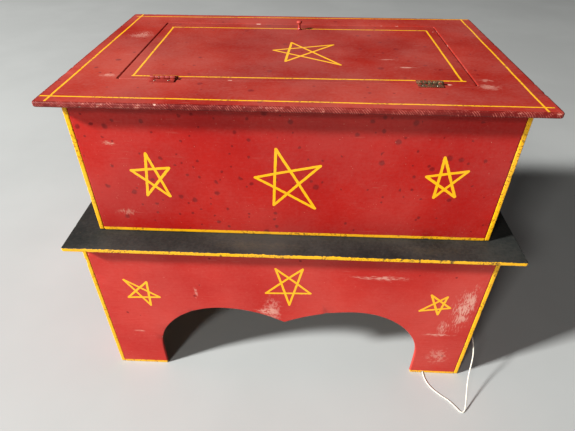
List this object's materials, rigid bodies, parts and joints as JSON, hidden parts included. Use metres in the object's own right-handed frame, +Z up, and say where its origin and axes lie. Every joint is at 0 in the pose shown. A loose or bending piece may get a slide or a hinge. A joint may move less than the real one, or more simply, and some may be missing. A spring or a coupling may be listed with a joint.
{
  "type": "magician's trapdoor chest",
  "caption": "Stage magician's plywood chest with a hinged trapdoor in its overhanging top, fixed to a base board and standing on an arched stand, with painted stars and a pull string.",
  "frame": {"origin": "on the floor, under the middle of the base board", "axes": "+X to the right seen from the front, +Y to the back, +Z up"},
  "size_m": [0.65, 0.492, 0.5184],
  "materials": {
    "red_paint": "red enamel on plywood, satin, worn, with yellow stripes and stars",
    "top_red_paint": "faded red enamel on plywood, dull, scratched, with yellow pinstripes and a star",
    "black_paint": "flat black paint on plywood, with a yellow front edge",
    "bare_wood": "unpainted softwood and plywood",
    "hinge_steel": "steel butt hinge overpainted red, chipped",
    "screw_steel": "tarnished steel",
    "cotton": "twisted white cotton string"
  },
  "bodies": {
    "chest_on_stand": {"base_board": "black_paint", "base_screw_back_left": "screw_steel", "base_screw_back_right": "screw_steel", "base_screw_front_left": "screw_steel", "base_screw_front_right": "screw_steel", "chest_back_panel": "red_paint", "chest_cleat_back": "bare_wood", "chest_cleat_front": "bare_wood", "chest_cleat_left": "bare_wood", "chest_cleat_right": "bare_wood", "chest_corner_block_back_left": "bare_wood", "chest_corner_block_back_right": "bare_wood", "chest_corner_block_front_left": "bare_wood", "chest_corner_block_front_right": "bare_wood", "chest_floor": "bare_wood", "chest_front_panel": "red_paint", "chest_left_panel": "red_paint", "chest_right_panel": "red_paint", "door_ledge_left": "bare_wood", "door_ledge_rear": "bare_wood", "door_ledge_right": "bare_wood", "fixed_leaf_screw_left_1": "screw_steel", "fixed_leaf_screw_left_2": "screw_steel", "fixed_leaf_screw_right_1": "screw_steel", "fixed_leaf_screw_right_2": "screw_steel", "hinge_left_fixed_leaf": "hinge_steel", "hinge_left_pin": "hinge_steel", "hinge_right_fixed_leaf": "hinge_steel", "hinge_right_pin": "hinge_steel", "pull_string": "cotton", "stand_back_panel": "red_paint", "stand_corner_block_back_left": "bare_wood", "stand_corner_block_back_right": "bare_wood", "stand_corner_block_front_left": "bare_wood", "stand_corner_block_front_right": "bare_wood", "stand_front_panel": "red_paint", "stand_left_panel": "red_paint", "stand_rail_back": "bare_wood", "stand_rail_front": "bare_wood", "stand_rail_left": "bare_wood", "stand_rail_right": "bare_wood", "stand_right_panel": "red_paint", "string_end_knot": "cotton", "string_stop_knot": "cotton", "top_board": "top_red_paint"},
    "trapdoor_leaf": {"hinge_left_moving_leaf": "hinge_steel", "hinge_right_moving_leaf": "hinge_steel", "knob": "top_red_paint", "knob_screw": "screw_steel", "moving_leaf_screw_left_1": "screw_steel", "moving_leaf_screw_left_2": "screw_steel", "moving_leaf_screw_right_1": "screw_steel", "moving_leaf_screw_right_2": "screw_steel", "trapdoor": "top_red_paint"}
  },
  "joints": [
    {"name": "trapdoor_hinge", "type": "hinge", "parent": "chest_on_stand", "child": "trapdoor_leaf", "pos_m": [0, -0.1204, 0.5067], "axis": [1, 0, 0], "range_deg": [0, 180]}
  ]
}
